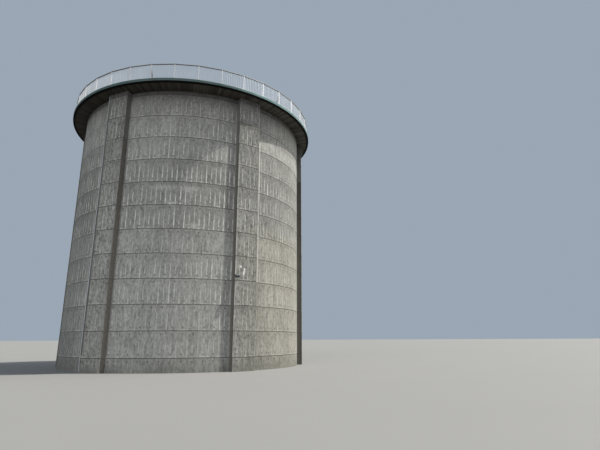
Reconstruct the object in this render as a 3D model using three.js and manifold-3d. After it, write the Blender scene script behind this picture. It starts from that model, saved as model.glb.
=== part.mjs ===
// Water tower: a round concrete tank that stands on the ground. Six flat buttresses stiffen
// its wall, a dome closes it, and a gallery with a steel railing runs round its top.
// Millimetres, +Z up. The origin is on the ground, on the tank's axis. The front is -Y, and
// angles are in degrees from the front, growing towards +X.

import * as THREE from 'three';
import { mergeVertices } from 'three/addons/utils/BufferGeometryUtils.js';
import Module from 'manifold-3d';

const wasm = await Module();
wasm.setup();

// Driving dimensions
const RING_SIDES = 72;
const GAP = 0.3;

const WALL_RADIUS = 8310;
const WALL_THICKNESS = 330;
const KICKER_HEIGHT = 800;
const LIFT_HEIGHT = 1500;
const LIFT_COUNT = 11;
const FLOOR_THICKNESS = 300;

const BUTTRESS_COUNT = 6;
const BUTTRESS_WIDTH = 1540;
const BUTTRESS_PROJECTION = 350;
const FIRST_BUTTRESS_ANGLE = 30;

const BAND_HEIGHT = 250;
const SLAB_RADIUS = 9190;
const SLAB_RISE = 120;
const SLAB_EDGE_DEPTH = 210;

const DOME_RISE = 1600;
const DOME_THICKNESS = 150;
const DOME_SEAT_WIDTH = 200;
const DOME_RIM_HEIGHT = 100;
const DOME_STEPS = 5;

const COPING_RADIUS = 9290;
const COPING_PLATE = 30;
const COPING_DEPTH = 180;
const COPING_FLANGE = 220;
const STRIP_RADIUS = 9282;
const STRIP_DEPTH = 70;

const SECTION_COUNT = 19;
const FIRST_POST_ANGLE = 5.9;
const RAILING_RADIUS = 9134;
const RAILING_HEIGHT = 1120;
const POST_SIDE = 60;
const BASE_PLATE = { along: 120, across: 100, thickness: 10 };
const HANDRAIL_RADIUS = 38;
const HANDRAIL_SIDES = 8;
const BOTTOM_RAIL = { width: 40, depth: 20, clearance: 80 };
const BALUSTER_SIDE = 16;
const BALUSTERS_PER_BAY = 11;

const CONDUIT = { radius: 27, sides: 8, standOff: 60, setBack: 60, base: 100 };
const SADDLE = { height: 60, depth: 40, lip: 10, belowLift: 500, everyLifts: 2 };

const LAMP = { width: 260, depth: 180, height: 190, centre: 5550, overhang: 70 };
const LAMP_BODY = { crown: 55, heel: 80, chin: 140, backDrop: 40 };
const LAMP_PLATE = { width: 100, height: 180, thickness: 12 };
const LAMP_ARM = { side: 40, length: 60 };

// Heights that follow from the driving dimensions
const innerRadius = WALL_RADIUS - WALL_THICKNESS;
const wallTop = KICKER_HEIGHT + LIFT_COUNT * LIFT_HEIGHT;
const soffitAtWall = wallTop + BAND_HEIGHT;
const soffitAtEdge = soffitAtWall + SLAB_RISE;
const slabTop = soffitAtEdge + SLAB_EDGE_DEPTH;
const deckTop = slabTop + COPING_PLATE;
const copingBottom = deckTop - COPING_DEPTH;
const handrailHeight = deckTop + RAILING_HEIGHT - HANDRAIL_RADIUS;
const buttressFace = WALL_RADIUS + BUTTRESS_PROJECTION;
const buttressSpacing = 360 / BUTTRESS_COUNT;
const conduitAngle = -FIRST_BUTTRESS_ANGLE;
const lampAngle = FIRST_BUTTRESS_ANGLE;
const bayAngle = 360 / (2 * SECTION_COUNT);
const bayLength = 2 * RAILING_RADIUS * Math.sin(THREE.MathUtils.degToRad(bayAngle / 2));

// Materials
const concrete = new THREE.MeshStandardMaterial({ color: 0x8b8d88, roughness: 0.92, metalness: 0 });
const darkConcrete = new THREE.MeshStandardMaterial({ color: 0x6f706c, roughness: 0.94, metalness: 0 });
const copingGreen = new THREE.MeshStandardMaterial({ color: 0x5f7f78, roughness: 0.55, metalness: 0.3 });
const edgeBlack = new THREE.MeshStandardMaterial({ color: 0x0c0c0d, roughness: 0.7, metalness: 0.1 });
const railingGrey = new THREE.MeshStandardMaterial({ color: 0xc9cbc9, roughness: 0.45, metalness: 0.4 });
const conduitGrey = new THREE.MeshStandardMaterial({ color: 0xa9aaa6, roughness: 0.6, metalness: 0.2 });
const lampDark = new THREE.MeshStandardMaterial({ color: 0x2a3038, roughness: 0.5, metalness: 0.3 });

// Solids
function solidFrom(geometry) {
  const bare = geometry.index ? geometry.clone() : geometry;
  bare.deleteAttribute('normal');
  bare.deleteAttribute('uv');
  const merged = mergeVertices(bare, 1e-3);
  return new wasm.Manifold(new wasm.Mesh({
    numProp: 3,
    vertProperties: new Float32Array(merged.attributes.position.array),
    triVerts: new Uint32Array(merged.index.array),
  }));
}

function geometryFrom(solid) {
  const mesh = solid.getMesh();
  const geometry = new THREE.BufferGeometry();
  geometry.setAttribute('position', new THREE.BufferAttribute(mesh.vertProperties, mesh.numProp));
  geometry.setIndex(new THREE.BufferAttribute(mesh.triVerts, 1));
  geometry.computeVertexNormals();
  return geometry;
}

// Bodies of revolution about +Z from (radius, height) points, counter-clockwise. The first kind
// starts and ends on the axis, the second closes on itself.
function revolvedFromAxis(points) {
  const profile = points.map(([radius, height]) => new THREE.Vector2(radius, height));
  return solidFrom(new THREE.LatheGeometry(profile, RING_SIDES).rotateX(Math.PI / 2));
}

function revolvedRing(points) {
  return revolvedFromAxis([...points, points[0]]);
}

function ring(inner, outer, bottom, top) {
  return revolvedRing([[inner, bottom], [outer, bottom], [outer, top], [inner, top]]);
}

function disc(radius, bottom, top) {
  return revolvedFromAxis([[0, bottom], [radius, bottom], [radius, top], [0, top]]);
}

// A box given by its size and the middle of it, in the frame of one bearing: x runs along the
// tangent, y inwards to the axis, so that a point at radius r has y = -r.
function block(width, depth, height, x, y, z) {
  return new THREE.BoxGeometry(width, depth, height).translate(x, y, z);
}

function turned(geometry, angle) {
  return solidFrom(geometry.rotateZ(THREE.MathUtils.degToRad(angle)));
}

// A sector of the whole height, between two bearings less than 180 degrees apart.
function sector(from, to) {
  const reach = 4 * COPING_RADIUS;
  const tip = (angle) => {
    const turn = THREE.MathUtils.degToRad(angle);
    return new THREE.Vector2(reach * Math.sin(turn), -reach * Math.cos(turn));
  };
  const plan = new THREE.Shape([new THREE.Vector2(0, 0), tip(from), tip(to)]);
  const height = deckTop + 2 * RAILING_HEIGHT;
  return solidFrom(new THREE.ExtrudeGeometry(plan, { depth: height, bevelEnabled: false }));
}

function joined(solids) {
  return solids.reduce((sum, next) => sum.add(next));
}

// Wall: a panel of ring between two buttresses, with its middle at bearing 0
function buttressSlot(angle) {
  const width = BUTTRESS_WIDTH + 2 * GAP;
  return turned(block(width, 2 * BUTTRESS_WIDTH, 2 * wallTop, 0, -WALL_RADIUS, wallTop / 2), angle);
}

function wallPanel() {
  const half = buttressSpacing / 2;
  const slots = buttressSlot(-half).add(buttressSlot(half));
  return ring(innerRadius, WALL_RADIUS, 0, wallTop).intersect(sector(-half, half)).subtract(slots);
}

// Buttress: cut back to the tank's inside, the ring beam and the slab's underside
function buttressLimits() {
  const beamFace = WALL_RADIUS + GAP;
  const reach = 2 * COPING_RADIUS;
  const slope = SLAB_RISE / (SLAB_RADIUS - WALL_RADIUS);
  const soffit = (radius) => soffitAtWall - GAP + (radius - WALL_RADIUS) * slope;
  const above = revolvedFromAxis([
    [0, wallTop], [beamFace, wallTop], [beamFace, soffit(beamFace)], [reach, soffit(reach)],
    [reach, 2 * slabTop], [0, 2 * slabTop],
  ]);
  return disc(innerRadius, -wallTop, 2 * wallTop).add(above);
}

function buttress() {
  const depth = buttressFace - innerRadius + WALL_THICKNESS;
  const middle = depth / 2 - buttressFace;
  const whole = solidFrom(block(BUTTRESS_WIDTH, depth, slabTop, 0, middle, slabTop / 2));
  return whole.subtract(buttressLimits());
}

// Roof: a shallow dome with a level rim that rests on the ring beam
function domeArc(span, low, high) {
  const rise = high - low;
  const sphere = (span * span + rise * rise) / (2 * rise);
  return Array.from({ length: DOME_STEPS + 1 }, (_, step) => {
    const radius = span * (1 - step / DOME_STEPS);
    return [radius, high - sphere + Math.sqrt(sphere * sphere - radius * radius)];
  });
}

function dome() {
  const seatOuter = innerRadius + DOME_SEAT_WIDTH;
  const outer = domeArc(seatOuter, slabTop + DOME_RIM_HEIGHT, slabTop + DOME_RISE + DOME_THICKNESS);
  const inner = domeArc(innerRadius, slabTop, slabTop + DOME_RISE).reverse();
  return revolvedFromAxis([...inner, [seatOuter, slabTop], ...outer]);
}

// Gallery: the slab that overhangs the wall, its metal coping and the dark strip below that
function gallerySlab() {
  const root = WALL_RADIUS + GAP;
  return revolvedRing([
    [root, soffitAtWall], [SLAB_RADIUS, soffitAtEdge], [SLAB_RADIUS, slabTop], [root, slabTop],
  ]);
}

function coping() {
  const back = SLAB_RADIUS + GAP;
  return revolvedRing([
    [back, copingBottom], [COPING_RADIUS, copingBottom], [COPING_RADIUS, deckTop],
    [COPING_RADIUS - COPING_FLANGE, deckTop], [COPING_RADIUS - COPING_FLANGE, slabTop], [back, slabTop],
  ]);
}

function edgeStrip() {
  return ring(SLAB_RADIUS + GAP, STRIP_RADIUS, copingBottom - STRIP_DEPTH, copingBottom);
}

// Railing: straight bays between posts. A section is two bays, with its middle post at bearing 0.
function post(angle, clearance = 0) {
  const base = deckTop + BASE_PLATE.thickness;
  const top = handrailHeight + clearance;
  const side = POST_SIDE + 2 * clearance;
  const plateAlong = BASE_PLATE.along + 2 * clearance;
  const plateAcross = BASE_PLATE.across + 2 * clearance;
  const plateMiddle = deckTop + BASE_PLATE.thickness / 2;
  const shaft = block(side, side, top - base, 0, -RAILING_RADIUS, (top + base) / 2);
  const plate = block(plateAlong, plateAcross, BASE_PLATE.thickness, 0, -RAILING_RADIUS, plateMiddle);
  return turned(shaft, angle).add(turned(plate, angle));
}

// The rails and balusters of one bay, with the middle of the bay at bearing 0
function bay() {
  const turn = THREE.MathUtils.degToRad(bayAngle / 2);
  const chord = -RAILING_RADIUS * Math.cos(turn);
  const length = bayLength + 2 * HANDRAIL_RADIUS * Math.tan(turn);
  const handrail = new THREE.CylinderGeometry(HANDRAIL_RADIUS, HANDRAIL_RADIUS, length, HANDRAIL_SIDES)
    .rotateY(Math.PI / HANDRAIL_SIDES)
    .rotateZ(Math.PI / 2)
    .translate(0, chord, handrailHeight);
  const railMiddle = deckTop + BOTTOM_RAIL.clearance + BOTTOM_RAIL.depth / 2;
  const bottomRail = block(length, BOTTOM_RAIL.width, BOTTOM_RAIL.depth, 0, chord, railMiddle);
  const pitch = bayLength / (BALUSTERS_PER_BAY + 1);
  const barHeight = handrailHeight - railMiddle;
  const bars = Array.from({ length: BALUSTERS_PER_BAY }, (_, index) => {
    const x = (index + 1) * pitch - bayLength / 2;
    return solidFrom(block(BALUSTER_SIDE, BALUSTER_SIDE, barHeight, x, chord, railMiddle + barHeight / 2));
  });
  return joined([solidFrom(handrail), solidFrom(bottomRail), ...bars]);
}

// One section keeps its first and middle posts; the next section's first post ends it.
function railingSection() {
  const rails = geometryFrom(bay());
  const bays = turned(rails.clone(), -bayAngle / 2).add(turned(rails, bayAngle / 2));
  const mitre = THREE.MathUtils.radToDeg(GAP / 2 / RAILING_RADIUS);
  const inside = bays.intersect(sector(mitre - bayAngle, bayAngle - mitre));
  return inside.subtract(post(bayAngle, GAP)).add(post(-bayAngle)).add(post(0));
}

// Conduit: a slim pipe that stands off the left side of a buttress on saddles
function conduit() {
  const side = -(BUTTRESS_WIDTH / 2 + GAP);
  const y = CONDUIT.setBack - buttressFace;
  const height = soffitAtWall - CONDUIT.base;
  const pipe = new THREE.CylinderGeometry(CONDUIT.radius, CONDUIT.radius, height, CONDUIT.sides)
    .rotateX(Math.PI / 2)
    .translate(side - CONDUIT.standOff, y, CONDUIT.base + height / 2);
  const width = CONDUIT.standOff + CONDUIT.radius + SADDLE.lip;
  const saddles = [];
  for (let lift = 0; lift < LIFT_COUNT; lift += SADDLE.everyLifts) {
    const z = KICKER_HEIGHT + lift * LIFT_HEIGHT - SADDLE.belowLift;
    saddles.push(solidFrom(block(width, SADDLE.depth, SADDLE.height, side - width / 2, y, z)));
  }
  return joined([solidFrom(pipe), ...saddles]);
}

// Lamp: a small floodlight on a plate at the left edge of a buttress, with its body past the edge
const lampX = (LAMP.width - BUTTRESS_WIDTH) / 2 - LAMP.overhang;
const lampBack = -(buttressFace + GAP);

function lampBracket() {
  const plateMiddle = lampBack - LAMP_PLATE.thickness / 2;
  const armLength = LAMP_PLATE.thickness + LAMP_ARM.length;
  const armMiddle = lampBack - armLength / 2;
  return joined([
    block(LAMP_PLATE.width, LAMP_PLATE.thickness, LAMP_PLATE.height, lampX, plateMiddle, LAMP.centre),
    block(LAMP_ARM.side, armLength, LAMP_ARM.side, lampX, armMiddle, LAMP.centre),
  ].map(solidFrom));
}

// The side of the body, forwards and up from the middle of its back: the hood slopes down to the
// front, and the glass below it faces out and a little down.
function lampHousing() {
  const back = lampBack - LAMP_PLATE.thickness - LAMP_ARM.length - GAP;
  const half = LAMP.height / 2;
  const side = [
    [0, -LAMP_BODY.backDrop], [LAMP_BODY.heel, -half], [LAMP_BODY.chin, -half],
    [LAMP.depth, 0], [LAMP_BODY.crown, half], [0, half],
  ].map(([forward, up]) => new THREE.Vector2(forward, up));
  const body = new THREE.ExtrudeGeometry(new THREE.Shape(side), { depth: LAMP.width, bevelEnabled: false })
    .rotateX(Math.PI / 2)
    .rotateZ(-Math.PI / 2)
    .translate(lampX + LAMP.width / 2, back, LAMP.centre);
  return solidFrom(body);
}

// Assembly
const tower = new THREE.Group();

function addPiece(name, geometry, material, angle = 0) {
  const mesh = new THREE.Mesh(geometry, material);
  mesh.name = name;
  mesh.rotation.z = THREE.MathUtils.degToRad(angle);
  tower.add(mesh);
}

function addWall() {
  const geometry = geometryFrom(wallPanel());
  const places = ['front', 'front_right', 'back_right', 'back', 'back_left', 'front_left'];
  places.forEach((place, index) => {
    addPiece(`wall_${place}`, geometry, concrete, index * buttressSpacing);
  });
}

function addButtresses() {
  const geometry = geometryFrom(buttress());
  const places = ['front_right', 'right', 'back_right', 'back_left', 'left', 'front_left'];
  places.forEach((place, index) => {
    addPiece(`buttress_${place}`, geometry, concrete, FIRST_BUTTRESS_ANGLE + index * buttressSpacing);
  });
}

function addRailing() {
  const geometry = geometryFrom(railingSection());
  for (let index = 0; index < SECTION_COUNT; index += 1) {
    const number = String(index + 1).padStart(2, '0');
    addPiece(`railing_${number}`, geometry, railingGrey, FIRST_POST_ANGLE + 2 * index * bayAngle);
  }
}

addPiece('tank_floor', geometryFrom(disc(innerRadius - GAP, 0, FLOOR_THICKNESS)), darkConcrete);
addWall();
addButtresses();
addPiece('ring_beam', geometryFrom(ring(innerRadius, WALL_RADIUS, wallTop, slabTop)), concrete);
addPiece('roof_dome', geometryFrom(dome()), concrete);
addPiece('gallery_slab', geometryFrom(gallerySlab()), darkConcrete);
addPiece('gallery_coping', geometryFrom(coping()), copingGreen);
addPiece('slab_edge_strip', geometryFrom(edgeStrip()), edgeBlack);
addRailing();
addPiece('conduit', geometryFrom(conduit()), conduitGrey, conduitAngle);
addPiece('lamp_bracket', geometryFrom(lampBracket()), lampDark, lampAngle);
addPiece('lamp_housing', geometryFrom(lampHousing()), lampDark, lampAngle);

export default tower;
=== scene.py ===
import math

import bpy
import numpy as np
from mathutils import Matrix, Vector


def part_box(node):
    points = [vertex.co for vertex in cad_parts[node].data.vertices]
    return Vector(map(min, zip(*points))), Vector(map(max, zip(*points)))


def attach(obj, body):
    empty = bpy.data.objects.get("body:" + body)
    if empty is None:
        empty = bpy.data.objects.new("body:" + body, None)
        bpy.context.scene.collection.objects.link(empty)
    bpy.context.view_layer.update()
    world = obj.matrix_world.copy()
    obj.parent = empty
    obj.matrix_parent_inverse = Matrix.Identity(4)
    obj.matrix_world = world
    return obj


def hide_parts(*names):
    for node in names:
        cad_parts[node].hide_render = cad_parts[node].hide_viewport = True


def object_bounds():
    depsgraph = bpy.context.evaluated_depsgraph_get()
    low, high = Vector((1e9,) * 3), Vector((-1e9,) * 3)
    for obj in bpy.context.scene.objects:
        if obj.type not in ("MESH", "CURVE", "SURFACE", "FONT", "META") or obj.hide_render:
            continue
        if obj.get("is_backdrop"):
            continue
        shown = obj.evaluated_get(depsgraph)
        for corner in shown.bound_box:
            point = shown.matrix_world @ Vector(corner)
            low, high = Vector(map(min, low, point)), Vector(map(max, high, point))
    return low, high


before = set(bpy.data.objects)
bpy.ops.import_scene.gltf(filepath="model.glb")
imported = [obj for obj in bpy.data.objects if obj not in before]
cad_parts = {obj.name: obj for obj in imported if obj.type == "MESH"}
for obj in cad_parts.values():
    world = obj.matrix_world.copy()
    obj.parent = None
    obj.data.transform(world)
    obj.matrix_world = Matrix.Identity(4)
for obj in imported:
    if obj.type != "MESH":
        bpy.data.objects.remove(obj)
CAD_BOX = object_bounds()

# Formwork of the wall
LIFT_HEIGHT = 1.5
KICKER_HEIGHT = 0.8
SIDES = 6
SIDE_ANGLE = 360 / SIDES
FIRST_BUTTRESS_ANGLE = 30
FORM_WIDTH = 0.3
FIRST_PANEL_JOINT = 0.18
PANEL_JOINTS = 24
BUTTRESS_JOINTS = 4
CHAMFER = 0.02
JOINT_OFFSETS = (-0.03, -0.004, 0.0, 0.004, 0.03)
CORNER_OFFSETS = (-0.03, -CHAMFER, CHAMFER, 0.03)
BETWEEN_JOINTS = (0.1, 0.2)
SIDE_COLUMNS = (0.2, 0.1)
LIP = 0.01
WAVED = 0.035
TIE_ROWS = ((-0.21, -0.15), (0.18, 0.24))
LIFT_OFFSETS = (*TIE_ROWS[0], -WAVED, -LIP, 0.0, LIP, WAVED, *TIE_ROWS[1], 0.55, 0.9)
NO_JOINT = 9.0
TIE_CENTRES = (-0.18, 0.21)
TIE_RADIUS = 0.022
TIE_DEPTH = 0.016
PANEL_TIES = range(0, PANEL_JOINTS, 2)
BUTTRESS_TIES = (0, 3)
BUTTRESS_U_STEP = 21
BUTTRESS_U_START = 5.0

# Looks of each lift of the wall, from the ground up: how light it is, and how strong its lime runs are. The
# top lifts are darker: painted shade under the gallery.
LIFT_TONES = (0.92, 0.98, 1.0, 1.01, 0.98, 1.01, 0.87, 0.83, 0.89, 0.99, 0.98, 0.85, 0.55)
WALL_RUNS = (0.2, 0.4, 0.5, 0.75, 0.85, 0.4, 1.0, 0.95, 1.15, 0.7, 0.5, 0.3, 0.0)
BUTTRESS_TONES = (0.92, 0.94, 0.96, 0.99, 0.95, 0.93, 0.99, 0.95, 0.91, 0.91, 0.87, 0.8, 0.58)
BUTTRESS_RUNS = (0.2, 0.3, 0.3, 0.4, 0.4, 0.4, 0.5, 0.5, 0.5, 0.4, 0.5, 0.5, 0.0)
# Per buttress, for the side faces: how light the painted shade above the brown stain is, and how deep the
# stain is high and low; the deeper values add painted shade on sides that lie in shade
SIDE_SHADE_TOP = (0.95, 0.6, 1.0, 1.0, 1.0, 1.0)
SIDE_TONES_HIGH = (0.5, 0.2, 0.5, 0.5, 0.5, 0.55)
SIDE_TONES_LOW = (0.5, 0.42, 0.5, 0.5, 0.5, 1.0)

# Colours of the marks on the concrete. The lime colour also paints highlights and sunlight, and the dark
# stain colour also paints shade, in some of the bands below.
LIME_AND_HIGHLIGHT = (0.44, 0.437, 0.405)
HEM_LIME = (0.42, 0.417, 0.385)
DARK_STAIN_AND_SHADE = (0.075, 0.072, 0.066)
DIRT = (0.085, 0.083, 0.074)
FOOT_GRIME = (0.085, 0.085, 0.07)
PIT = (0.056, 0.055, 0.049)
TIE_RIM = (0.042, 0.041, 0.035)
LIFT_LINE = (0.03, 0.028, 0.022)
MORTAR_PATCH = (0.5, 0.505, 0.485)
SIDE_BROWN = (0.17, 0.155, 0.13)
# The next colour paints shade on the upper parts of the buttress sides
SIDE_UPPER_SHADE = (0.08, 0.079, 0.073)

# Smears of lime and patches of mortar: U, height, and how far each reaches in U and in height
SMEARS = ((9.4, 10.92, 2.8, 0.2), (15.0, 10.86, 2.2, 0.2), (11.3, 9.93, 1.1, 0.13), (15.7, 8.52, 1.6, 0.18))
PATCHES = ((1.25, 6.15, 0.26, 0.08), (2.17, 5.98, 0.2, 0.11), (2.03, 5.76, 0.24, 0.14))
# Stained and limed bands, and bands of painted light and shade where noted: U from and to, height from and
# to, strength, colour
WALL_BANDS = (
    (27.25, 27.55, 10.9, 15.05, 1.0, LIME_AND_HIGHLIGHT),
    (27.2, 27.5, 5.3, 10.9, 0.75, LIME_AND_HIGHLIGHT),
    (26.9, 51.0, 14.36, 15.2, 0.28, LIME_AND_HIGHLIGHT),
    # Lime on the front panel's lit wedge, partly painted sunlight that brightens the wedge
    (19.6, 22.45, 12.95, 14.25, 0.14, LIME_AND_HIGHLIGHT),
    # A darker strip on the wall in the corner beside the front-left buttress, down from the top of its side's
    # stain
    (0.3, 0.72, 0.9, 14.2, 0.4, DARK_STAIN_AND_SHADE),
)
BUTTRESS_BANDS = (
    # A stain on the top lift joint of the front-right buttress, with painted shadow of the gallery's edge
    # below it
    (0.0, 5.13, 15.55, 15.98, 0.5, DARK_STAIN_AND_SHADE),
    # Painted highlight on the left corner of the front-right buttress
    (0.0, 0.22, 3.0, 13.6, 0.3, LIME_AND_HIGHLIGHT),
    # Painted shade on the chamfer of the left corner, under the gallery
    (-0.1, 0.12, 14.4, 17.3, 0.3, DARK_STAIN_AND_SHADE),
    # A darker strip along the right corner of the front-right buttress
    (4.85, 5.2, 3.0, 15.9, 0.35, DARK_STAIN_AND_SHADE),
    # Painted shadow of the gap behind the conduit, on the front-left buttress's left edge
    (105.0, 105.45, 1.0, 17.3, 1.4, DARK_STAIN_AND_SHADE),
    # A darker strip along the right corner of the front-left buttress
    (109.85, 110.2, 1.0, 17.3, 0.45, DARK_STAIN_AND_SHADE),
)

# Sizes that the frame doesn't give, the step that counts as the same place, and degrees to a unit of U
GAP = 0.0003
SAME = 1e-6
WALL_THICKNESS = 0.33
SOFFIT_RISE = 0.12
DOME_THICKNESS = 0.15
DOME_RIM = 0.1
U_DEGREES = 15

# Sizes read from the frame
WALL_RADIUS = -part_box("wall_front")[0].y
WALL_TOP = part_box("wall_front")[1].z
INNER_RADIUS = WALL_RADIUS - WALL_THICKNESS
FACE_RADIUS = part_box("buttress_right")[1].x
BUTTRESS_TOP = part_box("buttress_right")[1].z
BUTTRESS_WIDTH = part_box("buttress_right")[1].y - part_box("buttress_right")[0].y
SLAB_RADIUS = -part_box("gallery_slab")[0].y
SLAB_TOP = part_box("gallery_slab")[1].z
SOFFIT_AT_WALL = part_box("gallery_slab")[0].z
COPING_RADIUS = -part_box("gallery_coping")[0].y
COPING_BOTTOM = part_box("gallery_coping")[0].z
DECK_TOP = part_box("gallery_coping")[1].z
STRIP_RADIUS = -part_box("slab_edge_strip")[0].y
STRIP_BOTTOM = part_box("slab_edge_strip")[0].z
DOME_RADIUS = -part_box("roof_dome")[0].y
DOME_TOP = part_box("roof_dome")[1].z
FLOOR_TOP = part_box("tank_floor")[1].z
SLOPE = SOFFIT_RISE / (SLAB_RADIUS - WALL_RADIUS)

# Railing
SECTION_COUNT = 19
FIRST_POST_ANGLE = 5.9
BAY_ANGLE = 180 / SECTION_COUNT
RAILING_RADIUS = 9.134
METRES_ROUND = 57.6
GALLERY_SIDES = 228
HANDRAIL_RADIUS = 0.038
HANDRAIL_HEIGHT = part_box("railing_01")[1].z - HANDRAIL_RADIUS
POST_SIDE = 0.06
BALUSTER_SIDE = 0.016
BALUSTERS_PER_BAY = 11
STAYED_SECTIONS = (3, 5, 8, 10, 13, 15, 17, 19)

# Conduit and lamp, each in the frame of its buttress
CONDUIT_ANGLE = -30
CONDUIT_RADIUS = 0.027
CONDUIT_X = -(BUTTRESS_WIDTH / 2 + GAP + 0.06)
CONDUIT_Y = 0.06 - FACE_RADIUS
FIRST_CLAMP = KICKER_HEIGHT - 0.5
LAMP_ANGLE = 30
LAMP_WIDTH = 0.26
LAMP_RIBS = 13
LAMP_X = (LAMP_WIDTH - BUTTRESS_WIDTH) / 2 - 0.07
LAMP_Z = 5.55
LAMP_SIDE = ((0, -0.04), (0.08, -0.095), (0.14, -0.095), (0.18, 0), (0.055, 0.095), (0, 0.095))


# Places
RIGHT, FORWARD, UP = (1.0, 0.0, 0.0), (0.0, -1.0, 0.0), (0.0, 0.0, 1.0)


def polar(radius, angle, z):
    turn = math.radians(angle)
    return (radius * math.sin(turn), -radius * math.cos(turn), z)


def turned(point, angle):
    """A point of the local frame of a bearing, in the row frame."""
    turn = math.radians(angle)
    x, y, z = point
    return (x * math.cos(turn) - y * math.sin(turn), x * math.sin(turn) + y * math.cos(turn), z)


def on_circle(x, radius):
    return (x, -math.sqrt(radius ** 2 - x ** 2))


def bearings(count):
    return [360 * i / count for i in range(count)]


def neighbours(items, closed=True):
    """Each item with the next one, and the last with the first if they close."""
    return list(zip(items, items[1:] + items[:1] if closed else items[1:]))


def add_object(name, data):
    added = bpy.data.objects.new(name, data)
    bpy.context.scene.collection.objects.link(added)
    return added


# Meshes
class Shape:
    """Points with their UV, and faces with the number of their look, that become one piece."""

    def __init__(self):
        self.points = []
        self.uvs = []
        self.faces = []
        self.kinds = []

    def point(self, position, uv=(0.0, 0.0)):
        self.points.append(position)
        self.uvs.append(uv)
        return len(self.points) - 1

    def face(self, corners, kind=0):
        self.faces.append(tuple(corners))
        self.kinds.append(kind)

    def joined(self, first, second, kind=0, closed=True):
        """Quads between two lines of point numbers."""
        for (a, b), (c, d) in zip(neighbours(first, closed), neighbours(second, closed)):
            self.face((a, b, d, c), kind)

    def ringed(self, rings, kind=0, closed=False):
        """Joins rings that run counter-clockwise seen from the last one, and caps them if they end."""
        for first, second in neighbours(rings, closed):
            self.joined(first, second, kind)
        if not closed:
            self.face(reversed(rings[0]), kind)
            self.face(rings[-1], kind)

    def bar(self, outline, origin, across, up, along, angle=0.0, kind=0, uv=0.0):
        """An outline (counter-clockwise over across and up) pushed along a vector that is across x up."""
        rings = []
        for share in (0.0, 1.0):
            ring = []
            for a, b in outline:
                spot = [origin[k] + a * across[k] + b * up[k] + share * along[k] for k in range(3)]
                ring.append(self.point(turned(spot, angle), (uv, spot[2])))
            rings.append(ring)
        self.ringed(rings, kind)

    def upright(self, outline, x, y, low, high, angle=0.0, kind=0, uv=0.0):
        self.bar(outline, (x, y, low), (1, 0, 0), (0, 1, 0), (0, 0, high - low), angle, kind, uv)

    def revolved(self, profile, angles, per_turn, closed=True):
        """A closed profile of (radius, height), counter-clockwise, turned through bearings."""
        rings = []
        for angle in angles:
            share = angle / 360 * per_turn
            rings.append([self.point(polar(r, angle, z), (share, z)) for r, z in reversed(profile)])
        self.ringed(rings, closed=closed)

    def spun(self, profile, count):
        """An open profile of (radius, height), counter-clockwise, turned all round. Returns its lines."""
        lines = []
        for angle in bearings(count):
            share = angle / U_DEGREES
            lines.append([self.point(polar(r, angle, z), (share, r)) for r, z in reversed(profile)])
        for first, second in neighbours(lines):
            self.joined(first, second, closed=False)
        return lines

    def backed(self, low, high, left, right):
        """Plain faces behind a formed face: the back between two lines, and the sides out to its edges."""
        for i in range(len(low) - 1):
            self.face((low[i + 1], low[i], high[i], high[i + 1]), 1)
        self.face([low[0], *left, high[0]], 1)
        self.face([high[-1], *reversed(right), low[-1]], 1)

    def piece(self, node, stuff, slot, looks, sharp=35.0):
        name = f"{node}_{stuff}"
        mesh = bpy.data.meshes.new(name)
        mesh.from_pydata(self.points, [], self.faces)
        mesh.update()
        used = np.empty(len(mesh.loops), dtype=np.int32)
        mesh.loops.foreach_get("vertex_index", used)
        layer = mesh.uv_layers.new(name="UVMap")
        layer.data.foreach_set("uv", np.array(self.uvs, dtype=np.float32)[used].ravel())
        for material in looks:
            mesh.materials.append(material)
        mesh.polygons.foreach_set("material_index", self.kinds)
        mesh.shade_smooth()
        mesh.set_sharp_from_angle(angle=math.radians(sharp))
        piece = add_object(name, mesh)
        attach(piece, "root")
        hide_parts(node)


def rectangle(width, depth, chamfer=0.0):
    """An outline about its middle, counter-clockwise, with its corners cut by a chamfer."""
    w, d, c = width / 2, depth / 2, chamfer
    if not c:
        return [(-w, -d), (w, -d), (w, d), (-w, d)]
    half = [(c - w, -d), (w - c, -d), (w, c - d), (w, d - c)]
    return half + [(-x, -y) for x, y in half]


def round_outline(radius, count):
    turns = [2 * math.pi * i / count for i in range(count)]
    return [(radius * math.cos(turn), radius * math.sin(turn)) for turn in turns]


# Relief of formed concrete
def wave(places, step, size, rng):
    """A smooth random line through places, with bends every step."""
    knots = np.arange(places.min() - step, places.max() + 2 * step, step)
    return np.interp(places, knots, rng.uniform(-size, size, len(knots)))


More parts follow.
